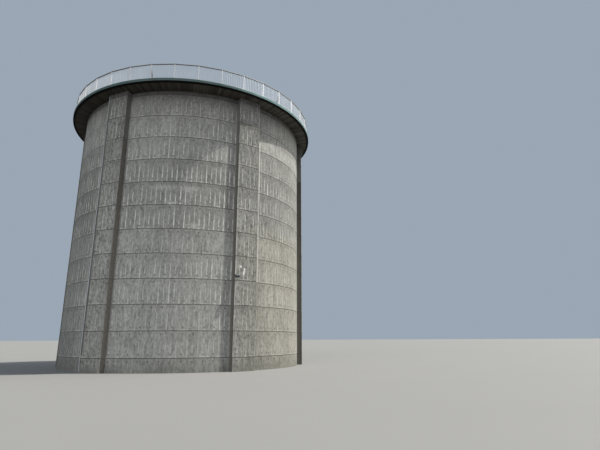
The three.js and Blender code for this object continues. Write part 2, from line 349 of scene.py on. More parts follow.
class Formwork:
    """Columns and rows of points over a formed face, and how deep each one lies."""

    def __init__(self, columns, rows, seed):
        self.columns, self.forms, self.creased = map(np.array, zip(*columns))
        self.rows, self.offsets = map(np.array, zip(*rows))
        self.rng = np.random.default_rng(seed)
        self.depth = self.panels() + self.swell() + self.lift_grooves()
        self.shift = self.lift_waves()

    def panels(self):
        """Each form of each lift stands a little proud or shy, with a crease between forms."""
        lifts = np.floor((self.rows - KICKER_HEIGHT + SAME) / LIFT_HEIGHT).astype(int) + 1
        each = self.rng.normal(0, 0.0011, (self.forms.max() + 1, lifts.max() + 1))
        whole = self.rng.uniform(-0.003, 0.003, lifts.max() + 1)
        depth = each[self.forms[:, None], lifts[None, :]] + whole[None, lifts]
        return depth + 0.0035 * self.creased[:, None]

    def swell(self):
        across = wave(self.columns, 0.9, 0.0015, self.rng)
        upwards = wave(self.rows, 1.1, 0.0015, self.rng)
        return across[:, None] + upwards[None, :]

    def lift_grooves(self):
        depth = np.zeros(self.columns.shape + self.rows.shape)
        for r, offset in enumerate(self.offsets):
            if offset == 0.0:
                depth[:, r] = 0.011 + wave(self.columns, 0.07, 0.005, self.rng)
            elif abs(offset) == LIP:
                depth[:, r] = np.maximum(0, wave(self.columns, 0.09, 0.009, self.rng) - 0.004)
        return depth

    def lift_waves(self):
        shift = np.zeros_like(self.depth)
        line = 0.0
        for r, offset in enumerate(self.offsets):
            if offset == -WAVED:
                line = wave(self.columns, 0.3, 0.007, self.rng) + wave(self.columns, 0.06, 0.003, self.rng)
            if abs(offset) <= WAVED:
                shift[:, r] = line
        if self.offsets[-1] == 0.0:
            shift[:, -1] = 0.0
        return shift


def lift_rows(top, extra=()):
    """Heights of the rows, with each row's offset from the lift joint that it belongs to."""
    rows = [(0.0, NO_JOINT), (0.3, NO_JOINT)]
    z = KICKER_HEIGHT
    while z < WALL_TOP + SAME:
        rows += [(z + offset, offset) for offset in LIFT_OFFSETS if z + offset < WALL_TOP + SAME]
        z += LIFT_HEIGHT
    return rows + [(WALL_TOP + offset, offset) for offset in extra] + ([(top, NO_JOINT)] if top else [])


def tie_hole(shape, low, high, at, across, up, depth):
    """Fills the cell between five points of one row and five of the next with a round tie hole."""
    turns = [math.radians(a) for a in (225, 250, 270, 290, 315, 0, 45, 70, 90, 110, 135, 180)]
    rings = []
    for radius, sunk in ((TIE_RADIUS, 0.0), (0.8 * TIE_RADIUS, TIE_DEPTH)):
        spots = [(across + radius * math.cos(t), up + radius * math.sin(t)) for t in turns]
        rings.append([shape.point(*at(x, z, depth + sunk)) for x, z in spots])
    rim, cup = rings
    for i in range(4):
        shape.face((low[i], low[i + 1], rim[i + 1], rim[i]))
        shape.face((high[4 - i], high[3 - i], rim[7 + i], rim[6 + i]))
    shape.face((low[4], high[4], rim[6], rim[5], rim[4]))
    shape.face((high[0], low[0], rim[0], rim[11], rim[10]))
    shape.joined(rim, cup, 2)
    shape.face(cup, 2)


def joint_columns(joints, first_form=0):
    """Columns about each joint and within each form after it: place, form and whether it is a crease."""
    columns = []
    for number, joint in enumerate(joints):
        form = first_form + number
        columns += [(joint + offset, form + (offset >= 0), offset == 0) for offset in JOINT_OFFSETS]
        columns += [(joint + offset, form + 1, False) for offset in BETWEEN_JOINTS]
    return columns


def formed_face(shape, work, at, ties, kinds=None):
    """The fine grid of a formed face. Returns its point numbers, column by column."""
    heights = work.rows + work.shift
    grid = []
    for c, across in enumerate(work.columns):
        grid.append([shape.point(*at(across, z, depth)) for z, depth in zip(heights[c], work.depth[c])])
    holes = set()
    for c in ties:
        for r, pair in enumerate(zip(work.offsets, work.offsets[1:])):
            if pair in TIE_ROWS:
                low, high = ([column[row] for column in grid[c:c + 5]] for row in (r, r + 1))
                middle = (work.rows[r] + work.rows[r + 1]) / 2
                depth = float(work.depth[c:c + 5:4, r:r + 2].mean())
                tie_hole(shape, low, high, at, work.columns[c + 2], middle, depth)
                holes.update((c + i, r) for i in range(4))
    for c in range(len(grid) - 1):
        kind = kinds[c] if kinds else 0
        for r in range(len(work.rows) - 1):
            if (c, r) not in holes:
                shape.face((grid[c][r], grid[c + 1][r], grid[c + 1][r + 1], grid[c][r + 1]), kind)
    return grid


def wall_panel(index, name, looks):
    """The wall between two buttresses: a fine outer face, closed by plain sides and a plain inside."""
    middle = index * SIDE_ANGLE
    edges = [math.asin((BUTTRESS_WIDTH / 2 + GAP) / radius) for radius in (WALL_RADIUS, INNER_RADIUS)]
    half, inner_half = (SIDE_ANGLE / 2 - math.degrees(edge) for edge in edges)
    reach = math.radians(half) * WALL_RADIUS
    joints = [FIRST_PANEL_JOINT - reach + FORM_WIDTH * k for k in range(PANEL_JOINTS)]
    columns = [(-reach, 0, False), (-reach + FIRST_PANEL_JOINT / 2, 0, False)]
    columns += [column for column in joint_columns(joints) if column[0] < reach - 0.01]
    columns.append((reach, PANEL_JOINTS, False))
    places = [place for place, _, _ in columns]
    ties = [places.index(joints[k] + JOINT_OFFSETS[0]) for k in PANEL_TIES]
    first_form = 1 + index * (PANEL_JOINTS + 2)

    def at(across, z, depth):
        angle = middle + math.degrees(across / WALL_RADIUS)
        return polar(WALL_RADIUS - depth, angle, z), (first_form + (across - joints[0]) / FORM_WIDTH, z)

    shape = Shape()
    work = Formwork(columns, lift_rows(None), 100 + index)
    grid = formed_face(shape, work, at, ties)
    steps = [middle - inner_half + 2 * inner_half * i / 12 for i in range(13)]
    low, high = ([shape.point(polar(INNER_RADIUS, step, z)) for step in steps] for z in (0, WALL_TOP))
    shape.backed(low, high, grid[0], grid[-1])
    shape.face([*[column[-1] for column in grid], *reversed(high)], 1)
    shape.face([*low, *[column[0] for column in reversed(grid)]], 1)
    shape.piece(name, "concrete", "wall_concrete", looks)


def buttress_path(across):
    """The point of the plan at a distance from the left front corner, and the way outwards there."""
    half = BUTTRESS_WIDTH / 2
    if across > half:
        (x, y), (out_x, out_y) = buttress_path(BUTTRESS_WIDTH - across)
        return (-x, y), (-out_x, out_y)
    if across <= SAME - CHAMFER:
        return (-half, -FACE_RADIUS - across), (-1.0, 0.0)
    if across < CHAMFER - SAME:
        share = (across + CHAMFER) / (2 * CHAMFER)
        return (share * CHAMFER - half, -FACE_RADIUS + (1 - share) * CHAMFER), (-0.7, -0.7)
    return (across - half, -FACE_RADIUS), (0.0, -1.0)


def buttress(index, name, looks):
    """A buttress: fine faces at the front and the sides, and plain faces where the wall hides it."""
    angle = FIRST_BUTTRESS_ANGLE + index * SIDE_ANGLE
    half = BUTTRESS_WIDTH / 2
    seat = WALL_RADIUS + GAP
    heel = on_circle(half, seat)[1]
    side = FACE_RADIUS + heel
    joints = [FORM_WIDTH * (k + 1) for k in range(BUTTRESS_JOINTS)]
    columns = [(-place, 0, False) for place in (side, *SIDE_COLUMNS)]
    columns += [(offset, int(offset > 0), False) for offset in CORNER_OFFSETS]
    columns += [(offset, 1, False) for offset in BETWEEN_JOINTS]
    columns += joint_columns(joints, 1)
    last = BUTTRESS_JOINTS + 1
    columns += [(BUTTRESS_WIDTH + offset, last + (offset > 0), False) for offset in CORNER_OFFSETS]
    columns += [(BUTTRESS_WIDTH + place, last + 1, False) for place in (*reversed(SIDE_COLUMNS), side)]
    places = [place for place, _, _ in columns]
    ties = [places.index(joints[k] + JOINT_OFFSETS[0]) for k in BUTTRESS_TIES]
    kinds = [0 if -CHAMFER <= place < BUTTRESS_WIDTH + CHAMFER else 3 for place in places]

    def soffit(x, y):
        return SOFFIT_AT_WALL - GAP + (math.hypot(x, y) - WALL_RADIUS) * SLOPE

    def at(across, z, depth):
        (x, y), (out_x, out_y) = buttress_path(across)
        x, y = x - out_x * depth, y - out_y * depth
        if across <= -side + SAME or across >= BUTTRESS_WIDTH + side - SAME:
            x, y = math.copysign(half, x), heel
        z = soffit(x, y) if z > BUTTRESS_TOP - SAME else z
        return turned((x, y, z), angle), (BUTTRESS_U_STEP * index + across / FORM_WIDTH, z)

    shape = Shape()
    work = Formwork(columns, lift_rows(BUTTRESS_TOP, (LIP, WAVED, 0.15)), 200 + index)
    grid = formed_face(shape, work, at, ties, kinds)
    step = next(r for r, z in enumerate(work.rows) if abs(z - WALL_TOP) < SAME)
    spread = [BUTTRESS_WIDTH * (i / 4 - 0.5) for i in range(5)]
    inner = [on_circle(x, INNER_RADIUS) for x in spread]
    outer = [on_circle(x, seat) for x in spread[1:-1]]

    def level(spots, z=None):
        return [shape.point(turned((x, y, soffit(x, y) if z is None else z), angle)) for x, y in spots]

    low, high = level(inner, 0.0), level(inner, WALL_TOP)
    ledge, crown = level(outer, WALL_TOP), level(outer)
    shape.backed(low, high, grid[0][:step + 1], grid[-1][:step + 1])
    shape.face([*low, *[column[0] for column in reversed(grid)]], 1)
    shape.face([grid[0][step], *ledge, grid[-1][step], *reversed(high)], 1)
    shape.backed(ledge, crown, grid[0][step:], grid[-1][step:])
    shape.face([*[column[-1] for column in grid], *reversed(crown)], 1)
    shape.piece(name, "concrete", "buttress_concrete", looks)


def ring_beam(looks):
    """The band above the wall, in steps of half a form, with a chamfer over the last lift joint."""
    forms = SIDES * (PANEL_JOINTS + 1)
    shape = Shape()
    profile = [
        (INNER_RADIUS, WALL_TOP), (WALL_RADIUS - 0.012, WALL_TOP), (WALL_RADIUS - 0.001, WALL_TOP + 0.012),
        (WALL_RADIUS, WALL_TOP + 0.12), (WALL_RADIUS, SOFFIT_AT_WALL - 0.01), (WALL_RADIUS, SLAB_TOP),
        (INNER_RADIUS, SLAB_TOP),
    ]
    shape.revolved(profile, bearings(2 * forms), forms)
    shape.piece("ring_beam", "concrete", "wall_concrete", looks)


def gallery_slab(looks):
    """The slab, with radial boards marked on its underside and a drip groove near its edge."""
    boards = 276
    rng = np.random.default_rng(31)
    root = WALL_RADIUS + GAP
    shape = Shape()
    rings = []
    for board in range(boards):
        lift = float(rng.uniform(0.0, 0.005))
        for share in (0.02, 0.98):
            angle = 360 * (board + share) / boards
            groove = ((0.13, lift), (0.12, 0.014), (0.1, 0.014), (0.09, lift), (0.0, 0.0))
            soffit = [(root, 0.0), (root + 0.02, lift)]
            soffit += [(SLAB_RADIUS - inwards, up) for inwards, up in groove]
            profile = [(r, SOFFIT_AT_WALL + (r - root) * SLOPE + up) for r, up in soffit]
            profile += [(SLAB_RADIUS, SLAB_TOP), (root, SLAB_TOP)]
            rings.append([shape.point(polar(r, angle, z), (board + share, r)) for r, z in reversed(profile)])
    shape.ringed(rings, closed=True)
    for number, corners in enumerate(shape.faces):
        if all(abs(shape.points[c][2] - SLAB_TOP) < SAME for c in corners):
            shape.kinds[number] = 1
    shape.piece("gallery_slab", "concrete", "soffit_concrete", looks, 20)


def lengths(shape, outline, count, half_angle):
    """Short lengths of an outline, spread evenly round the gallery between the posts."""
    for number in range(count):
        centre = FIRST_POST_ANGLE + (number + 0.5) * 360 / count
        angles = (centre - half_angle, centre, centre + half_angle)
        shape.revolved(outline, angles, METRES_ROUND, closed=False)


def gallery_coping(looks):
    """Folded sheet round the slab's edge, with a rib, a drip and cover strips over its joints."""
    back, face, low, top = SLAB_RADIUS + GAP, COPING_RADIUS, COPING_BOTTOM, DECK_TOP
    lower = ((0.014, 0.012), (0.012, 0), (0.003, 0), (0.001, 0.004), (0.002, 0.08), (0.012, 0.086),
             (0.012, 0.102), (0.002, 0.108))
    upper = ((0.001, 0.012), (0.005, 0.003), (0.012, 0.001), (0.214, 0.001), (0.22, 0.004))
    profile = [(back, low + 0.012)] + [(face - inwards, low + up) for inwards, up in lower]
    profile += [(face - inwards, top - down) for inwards, down in upper]
    profile += [(face - 0.22, SLAB_TOP), (back, SLAB_TOP)]
    shape = Shape()
    shape.revolved(profile, bearings(GALLERY_SIDES), METRES_ROUND)
    over = ((0, 0.006), (0.006, 0), (0.21, 0), (0.21, 0.006), (0.014, 0.006))
    strip = [(face - 0.014, low + 0.001), (face, low + 0.001)]
    strip += [(face - inwards, top - down) for inwards, down in over]
    lengths(shape, strip, 2 * SECTION_COUNT, 0.18)
    shape.piece("gallery_coping", "sheet", "green_coping", looks)


def edge_strip(looks):
    """The dark strip below the coping, with clips."""
    back, face = SLAB_RADIUS + GAP, STRIP_RADIUS
    low, high = STRIP_BOTTOM, COPING_BOTTOM
    shape = Shape()
    profile = [
        (back, low), (face - 0.012, low), (face - 0.004, low + 0.004), (face - 0.002, low + 0.012),
        (face - 0.002, high), (back, high),
    ]
    shape.revolved(profile, bearings(GALLERY_SIDES), METRES_ROUND)
    foot, head = low + 0.014, high - 0.002
    clip = [(face - 0.01, foot), (face, foot), (face, head), (face - 0.01, head)]
    lengths(shape, clip, 4 * SECTION_COUNT, 0.1)
    shape.piece("slab_edge_strip", "metal", "black_edge", looks)


def roof_dome(looks):
    """The shallow dome, in rings of pours with a fine joint between them."""
    seat, rim, steps = DOME_RADIUS, SLAB_TOP + DOME_RIM, 26

    def arc(span, low, high, radius):
        rise = high - low
        sphere = (span * span + rise * rise) / (2 * rise)
        return high - sphere + math.sqrt(sphere * sphere - radius * radius)

    outside = [(seat, SLAB_TOP), (seat, rim - 0.01), (seat - 0.01, rim)]
    for step in range(1, steps):
        radius = seat * (1 - step / steps)
        joint = ((radius + 0.015, 0.0), (radius, 0.01), (radius - 0.015, 0.0))
        spots = joint if step % 5 == 0 else [(radius, 0.0)]
        outside += [(r, arc(seat, rim, DOME_TOP, r) - sunk) for r, sunk in spots]
    radii = [INNER_RADIUS * step / 12 for step in range(1, 12)]
    inside = [(r, arc(INNER_RADIUS, SLAB_TOP, DOME_TOP - DOME_THICKNESS, r)) for r in radii]
    shape = Shape()
    lines = shape.spun([*inside, (INNER_RADIUS, SLAB_TOP), *outside], 144)
    crown = shape.point((0, 0, DOME_TOP), (0, 0))
    under = shape.point((0, 0, DOME_TOP - DOME_THICKNESS), (0, 0))
    for first, second in neighbours(lines):
        shape.face((crown, first[0], second[0]))
        shape.face((under, second[-1], first[-1]))
    shape.piece("roof_dome", "concrete", "roof_concrete", looks, 20)


def railing_section(number, looks):
    """Two straight bays on three bearings: handrail, bottom rail, balusters and two posts."""
    galvanised, handrail_paint, bolt_steel, stay_steel = 0, 1, 2, 3
    middle = FIRST_POST_ANGLE + 2 * (number - 1) * BAY_ANGLE
    ends = (middle - BAY_ANGLE, middle, middle + BAY_ANGLE)
    mitre = math.degrees(GAP / 2 / RAILING_RADIUS)
    stops = (ends[0] + mitre, ends[1], ends[2] - mitre)
    plate, low_rail, collar = DECK_TOP + 0.01, DECK_TOP + 0.09, HANDRAIL_HEIGHT - 0.045
    y = -RAILING_RADIUS
    shape = Shape()

    def rail(outline, z, kind):
        rings = []
        for stop in stops:
            ring = [shape.point(polar(RAILING_RADIUS + a, stop, z + b), (stop, b)) for a, b in outline]
            rings.append(ring[::-1])
        shape.ringed(rings, kind)

    rail(round_outline(HANDRAIL_RADIUS, 16), HANDRAIL_HEIGHT, handrail_paint)
    rail(rectangle(0.04, 0.02, 0.003), low_rail, galvanised)
    half = math.radians(BAY_ANGLE / 2)
    length = 2 * RAILING_RADIUS * math.sin(half)
    chord = -RAILING_RADIUS * math.cos(half)
    for bay in (ends[0] + BAY_ANGLE / 2, ends[1] + BAY_ANGLE / 2):
        for bar in range(BALUSTERS_PER_BAY):
            x = (bar + 1) * length / (BALUSTERS_PER_BAY + 1) - length / 2
            outline = rectangle(BALUSTER_SIDE, BALUSTER_SIDE)
            shape.upright(outline, x, chord, low_rail, HANDRAIL_HEIGHT - 0.02, bay, galvanised, bar + bay)
    for stop in ends[:2]:
        for outline, low, high in (
            (rectangle(0.12, 0.1, 0.008), DECK_TOP, plate),
            (rectangle(0.076, 0.076, 0.012), plate, plate + 0.008),
            (rectangle(POST_SIDE, POST_SIDE, 0.005), plate, HANDRAIL_HEIGHT),
            (rectangle(0.072, 0.072, 0.01), collar, collar + 0.015),
        ):
            shape.upright(outline, 0, y, low, high, stop, galvanised, stop)
        for x, dy in rectangle(0.092, 0.074):
            for outline, low in ((round_outline(0.0085, 6), plate), (round_outline(0.005, 8), plate + 0.008)):
                shape.upright(outline, x, y + dy, low, low + 0.008, stop, bolt_steel)
    if number in STAYED_SECTIONS:
        back_stay(shape, ends[1], stay_steel)
    shape.piece(f"railing_{number:02d}", "steel", "railing_steel", looks)


def back_stay(shape, angle, kind):
    """A sloping brace on the inner side of a post, down to a foot on the deck."""
    top = (0.0, -RAILING_RADIUS + 0.03, DECK_TOP + 0.72)
    foot = (0.0, -RAILING_RADIUS + 0.36, SLAB_TOP + 0.012)
    along = tuple(foot[k] - top[k] for k in range(3))
    size = math.hypot(along[1], along[2])
    up = (0.0, along[2] / size, -along[1] / size)
    left = (-1.0, 0.0, 0.0)
    shape.bar(rectangle(0.05, 0.03, 0.004), top, left, up, along, angle, kind)
    shape.upright(rectangle(0.12, 0.12, 0.01), 0, foot[1], SLAB_TOP, SLAB_TOP + 0.012, angle, kind)
    lug = (0.0, top[1] - 0.001, top[2] + 0.02)
    shape.bar(rectangle(0.07, 0.09, 0.006), lug, left, UP, (0, 0.012, 0), angle, kind)


def conduit(looks):
    """A slim pipe with sleeves, on clamps that stand off the buttress."""
    pipe, clamp, bolt = 0, 1, 2
    low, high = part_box("conduit")[0].z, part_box("conduit")[1].z
    shape = Shape()

    def length(outline, x, start, end, kind):
        shape.upright(outline, x, CONDUIT_Y, start, end, CONDUIT_ANGLE, kind)

    length(round_outline(CONDUIT_RADIUS, 20), CONDUIT_X, low, high, pipe)
    sleeve = round_outline(CONDUIT_RADIUS + 0.004, 20)
    for z in (low, 4.1, 8.1, 12.1, 16.1, high - 0.06):
        length(sleeve, CONDUIT_X, z, z + 0.06, pipe)
    wall = -(BUTTRESS_WIDTH / 2 + GAP)
    arm = (wall + CONDUIT_X + CONDUIT_RADIUS) / 2
    width = wall - CONDUIT_X - CONDUIT_RADIUS
    lug = CONDUIT_X - CONDUIT_RADIUS - 0.006
    fitting = (
        (rectangle(width, 0.03, 0.002), arm, 0.02, clamp),
        (rectangle(0.008, 0.04, 0.002), wall - 0.004, 0.03, clamp),
        (round_outline(CONDUIT_RADIUS + 0.007, 20), CONDUIT_X, 0.015, clamp),
        (rectangle(0.012, 0.024, 0.002), lug, 0.014, bolt),
    )
    z = FIRST_CLAMP
    while z < high:
        for outline, x, half, kind in fitting:
            length(outline, x, z - half, z + half, kind)
        z += 2 * LIFT_HEIGHT
    shape.piece("conduit", "pipe", "conduit_grey", looks)


def lamp_bracket(looks):
    """A plate with four bolts and a square arm with a knuckle."""
    shape = Shape()
    back = -(FACE_RADIUS + GAP)

    def stub(outline, x, out, z, length, kind=0):
        spot = (LAMP_X + x, back - out, LAMP_Z + z)
        shape.bar(outline, spot, RIGHT, UP, (0, -length, 0), LAMP_ANGLE, kind)

    stub(rectangle(0.1, 0.18, 0.008), 0, 0, 0, 0.012)
    stub(rectangle(0.04, 0.04, 0.004), 0, 0.01, 0, 0.062)
    for x in (-0.042, 0.042):
        for z in (-0.07, 0.07):
            stub(round_outline(0.009, 6), x, 0.012, z, 0.008, 1)
    knuckle = (LAMP_X - 0.035, back - 0.05, LAMP_Z)
    shape.bar(round_outline(0.026, 16), knuckle, FORWARD, UP, (0.07, 0, 0), LAMP_ANGLE, 1)
    shape.piece("lamp_bracket", "steel", "lamp_metal", looks)


def lamp_housing(looks):
    """A floodlight: a ribbed hood that slopes down over a framed glass."""
    body, glass, trim = 0, 1, 2
    back = -(FACE_RADIUS + GAP + 0.012 + 0.06 + GAP)
    heel, chin, brow, crown = LAMP_SIDE[1:5]
    shape = Shape()

    def slice_of(outline, left, right, kind):
        origin = (LAMP_X + right, back, LAMP_Z)
        shape.bar(outline, origin, FORWARD, UP, (left - right, 0, 0), LAMP_ANGLE, kind)

    def between(first, second, share, sunk):
        """A spot of the side outline on the line between two corners, sunk below it."""
        run, rise = second[0] - first[0], second[1] - first[1]
        size = math.hypot(run, rise)
        return (first[0] + share * run - sunk * rise / size, first[1] + share * rise + sunk * run / size)

    half = LAMP_WIDTH / 2
    front = [between(chin, brow, share, 0.008) for share in (0, 1)]
    inner = [LAMP_SIDE[0], heel, *front, between(crown, brow, 0, -0.006), (0, 0.089)]
    slice_of(inner, 0.008 - half, half - 0.008, body)
    for side in (-half, half - 0.01):
        slice_of(LAMP_SIDE, side, side + 0.01, trim)
    for low, high, sunk, kind in ((0.0, 0.12, 0, trim), (0.88, 1.0, 0, trim), (0.1, 0.9, 0.005, glass)):
        spots = ((low, sunk), (high, sunk), (high, 0.012), (low, 0.012))
        front = [between(chin, brow, share, depth) for share, depth in spots]
        slice_of(front, 0.009 - half, half - 0.009, kind)
    spots = ((0.06, 0.01), (0.1, 0), (0.96, 0), (1.0, 0.01))
    rib = [between(brow, crown, share, depth) for share, depth in spots]
    for number in range(LAMP_RIBS):
        x = (number - LAMP_RIBS // 2) * (LAMP_WIDTH - 0.04) / LAMP_RIBS
        slice_of(rib, x - 0.0025, x + 0.0025, body)
    shape.piece("lamp_housing", "body", "lamp_metal", looks)


def tank_floor(looks):
    """The floor slab inside, with round pour joints."""
    outer = INNER_RADIUS - GAP
    shape = Shape()
    profile = [(0.6, 0.0), (outer, 0.0), (outer, FLOOR_TOP - 0.01), (outer - 0.01, FLOOR_TOP)]
    for radius in (6.4, 4.8, 3.2, 1.6):
        profile += [(radius + 0.01, FLOOR_TOP), (radius, FLOOR_TOP - 0.008), (radius - 0.01, FLOOR_TOP)]
    profile += [(0.6, FLOOR_TOP)]
    lines = shape.spun(profile, 96)
    shape.face([line[0] for line in lines])
    shape.face([line[-1] for line in reversed(lines)])
    shape.piece("tank_floor", "concrete", "inner_concrete", looks)


# Materials
def new_node(tree, kind, values=(), **settings):
    """A node with its settings, and with its inputs fed by number or label."""
    node = tree.nodes.new(kind)
    for key, value in settings.items():
        setattr(node, key, value)
    for label, value in dict(values).items():
        feed(node.inputs[label], value)
    return node


class Signal:
    """A number or colour in a node tree, so that a formula reads as one."""

    def __init__(self, socket):
        self.socket = socket

    def math(self, operation, other=0.0):
        tree = self.socket.id_data
        return Signal(new_node(tree, "ShaderNodeMath", {0: self, 1: other}, operation=operation).outputs[0])

    def __add__(self, other):
        return self.math("ADD", other)

    def __sub__(self, other):
        return self.math("SUBTRACT", other)

    def __mul__(self, other):
        return self.math("MULTIPLY", other)

    def __abs__(self):
        return self.math("ABSOLUTE")

    def swing(self, size):
        """The number about its middle value of a half, times a size."""
        return (self - 0.5) * size

    def past_whole(self):
        """How far the number is past the nearest whole one."""
        return (self + 0.5).math("FRACT") - 0.5

    def inside(self, low, high, soft):
        """One between low and high, with a soft fall to nothing outside them."""
        return self.step(low - soft, low + soft) * self.step(high + soft, high - soft)

    def step(self, low, high, start=0.0, end=1.0):
        """A smooth change from start to end while the number goes from low to high."""
        values = enumerate((self, low, high, start, end))
        tree = self.socket.id_data
        node = new_node(tree, "ShaderNodeMapRange", values, interpolation_type="SMOOTHSTEP")
        return Signal(node.outputs[0])


def feed(socket, value):
    if isinstance(value, Signal):
        socket.id_data.links.new(value.socket, socket)
    elif isinstance(value, tuple) and len(value) == 3 and socket.type == "RGBA":
        socket.default_value = (*value, 1.0)
    else:
        socket.default_value = value


class Finish:
    """A material with one shader, and the textures that feed it."""

    def __init__(self, name, roughness, metallic=0.0, specular=0.5):
        self.material = bpy.data.materials.new(name)
        self.material.use_nodes = True
        self.tree = self.material.node_tree
        self.shader = self.tree.nodes["Principled BSDF"]
        self.color = None
        values = {"Roughness": roughness, "Metallic": metallic, "Specular IOR Level": specular}
        for label, value in values.items():
            feed(self.shader.inputs[label], value)
        self.spot = Signal(self.node("ShaderNodeTexCoord").outputs["Object"])

    def node(self, kind, values=(), **settings):
        return new_node(self.tree, kind, values, **settings)

    def parts(self, vector):
        return [Signal(socket) for socket in self.node("ShaderNodeSeparateXYZ", {0: vector}).outputs]

    def uv(self):
        return self.parts(Signal(self.node("ShaderNodeUVMap", uv_map="UVMap").outputs[0]))[:2]

    def vector(self, x, y, z=0.0):
        return Signal(self.node("ShaderNodeCombineXYZ", {0: x, 1: y, 2: z}).outputs[0])

    def noise(self, vector, scale, detail=2.0, roughness=0.55):
        values = {"Vector": vector, "Scale": scale, "Detail": detail, "Roughness": roughness}
        return Signal(self.node("ShaderNodeTexNoise", values).outputs["Fac"])

    def chance(self, x, y, z):
        """One random number for each whole x and y."""
        node = self.node("ShaderNodeTexWhiteNoise", {"Vector": self.vector(x, y, z)}, noise_dimensions="3D")
        return Signal(node.outputs["Value"])

    def pick(self, number, values):
        """The value that stands at a whole number in a short list."""
        node = self.node("ShaderNodeValToRGB")
        ramp = node.color_ramp
        ramp.interpolation = "CONSTANT"
        for place, value in enumerate(values):
            spot = place / len(values)
            stop = ramp.elements[place] if place < 2 else ramp.elements.new(spot)
            stop.position = spot
            stop.color = (value, value, value, 1.0)
        feed(node.inputs[0], (number + 0.5) * (1 / len(values)))
        return Signal(node.outputs[0])

    def paint(self, amount, color, blend="MIX"):
        """A layer over the colour so far."""
        self.color = self.mix(amount, self.color, color, blend)

    def shade(self, color, amount):
        """A colour made lighter or darker by an amount."""
        return self.mix(1.0, color, self.vector(amount, amount, amount), "MULTIPLY")

    def mix(self, factor, first, second, blend="MIX"):
        values = {0: factor, 6: first, 7: second}
        return Signal(self.node("ShaderNodeMix", values, data_type="RGBA", blend_type=blend).outputs[2])

    def finish(self, height=None, distance=0.002, roughness=None):
        feed(self.shader.inputs["Base Color"], self.color)
        if roughness is not None:
            feed(self.shader.inputs["Roughness"], roughness)
        if height is not None:
            bump = self.node("ShaderNodeBump", {"Distance": distance, "Height": height})
            feed(self.shader.inputs["Normal"], Signal(bump.outputs[0]))
        return self.material


class FormedConcrete(Finish):
    """Concrete from steel forms, with the places and noises that its marks share."""

    def __init__(self, name):
        super().__init__(name, 0.9, specular=0.3)
        self.u, self.v = u, v = self.uv()
        self.across = self.parts(self.spot)[0]
        lift = (v - KICKER_HEIGHT) * (1 / LIFT_HEIGHT)
        self.lift = lift.math("FLOOR")
        self.height = lift.math("FRACT") * LIFT_HEIGHT
        self.above = lift.past_whole() * LIFT_HEIGHT
        self.joint = (u + 0.5).math("FLOOR")
        self.blotch = self.noise(self.spot, 1.4, 4, 0.6)
        self.mottle = self.noise(self.spot, 6.5, 3, 0.65)
        self.grain = self.noise(self.spot, 45.0, 3, 0.7)
        self.pits = self.noise(self.spot, 17.0, 2, 0.5)
        self.curtain = self.noise(self.vector(u * 2.2, v * 1.5, self.lift * 5.3), 1.0, 3, 0.6)
        self.wash = self.noise(self.vector(u * 0.9, v * 0.5, 3.7), 1.0, 3, 0.6)
        self.speckle = self.noise(self.vector(u * 3.9, v * 4.5, 2.3), 1.0, 2, 0.5)
        self.along = self.noise(self.vector(self.joint * 3.1, v * 3.4, 1.0), 1.0, 3, 0.6)


def ground(f, base, rough, tones):
    """Clouds, curtains of wash, mottle, grain and pits, a tone to each form and each lift, and painted light
    and shade by side and under the gallery.
    """
    wide = f.noise(f.spot, 0.3, 3)
    form = f.chance(f.u.math("FLOOR"), f.lift, 1.0)
    tone = wide.swing(0.4) + f.blotch.swing(0.4) + f.curtain.swing(0.8 * rough)
    tone = tone + f.wash.swing(0.5) + f.mottle.swing(rough) + f.speckle.swing(rough)
    tone = tone + f.grain.swing(0.6) + form.swing(0.1) + 1.0
    # Painted light and shade by side of the tower: darker on the left panel, lighter on the front's left part
    # and towards the right limb
    left = f.v.step(13.5, 15.0, 0.81, 1.02)
    middle = f.v.step(9.0, 13.0, 1.24, 1.01)
    right = f.v.step(9.0, 13.0, 1.05, 0.94) * f.across.step(6.8, 8.0, 1.0, 1.12)
    front = f.across.step(-2.2, 0.5, middle, right)
    tone = tone * f.across.step(-6.0, -4.3, left, front) * f.pick(f.lift + 1.0, tones)
    # Painted shade under the gallery: darker from 15.9 m up
    f.color = f.shade(base, tone * f.v.step(15.9, 17.5, 1.0, 0.62))
    f.paint(f.pits.step(0.69, 0.74) * 0.7, PIT)
    warm = f.v.step(9.3, 8.3) * f.across.step(3.0, 6.0) * 0.75
    f.paint(warm, (1.04, 1.0, 0.9), "MULTIPLY")


def lime_runs(f, runs):
    """Each run fills its joint from the foot of the lift up to a height of its own."""
    joint, lift, height, along = f.joint, f.lift, f.height, f.along
    top = f.chance(joint, lift, 5.0) * 0.7 + 0.95
    strength = f.chance(joint, lift, 6.0).step(0.0, 1.0, 0.5, 1.15)
    wander = f.noise(f.vector(joint * 7.7, f.v * 1.8, 2.0), 1.0, 2).swing(0.04)
    aside = abs((f.u - joint) * FORM_WIDTH + wander)
    run = aside.step(along * 0.05 + 0.018, along * 0.02) * height.step(top, top - 0.8)
    run = run * height.step(0.01, 0.05) * strength
    run = run * along.step(0.3, 0.58, 0.45, 1.2) * f.pick(lift + 1.0, runs)
    run = run * f.across.step(1.0, 3.0, 1.0, 1.35) * f.across.step(4.3, 5.3, 1.0, 0.7)
    f.paint(run * 0.85, LIME_AND_HIGHLIGHT)
    hem = f.above.inside(0.035, 0.1, 0.03) * f.wash.step(0.35, 0.65)
    hem = hem * f.blotch.step(0.35, 0.6) * f.v.step(17.1, 17.0)
    f.paint(hem * 0.35, HEM_LIME)


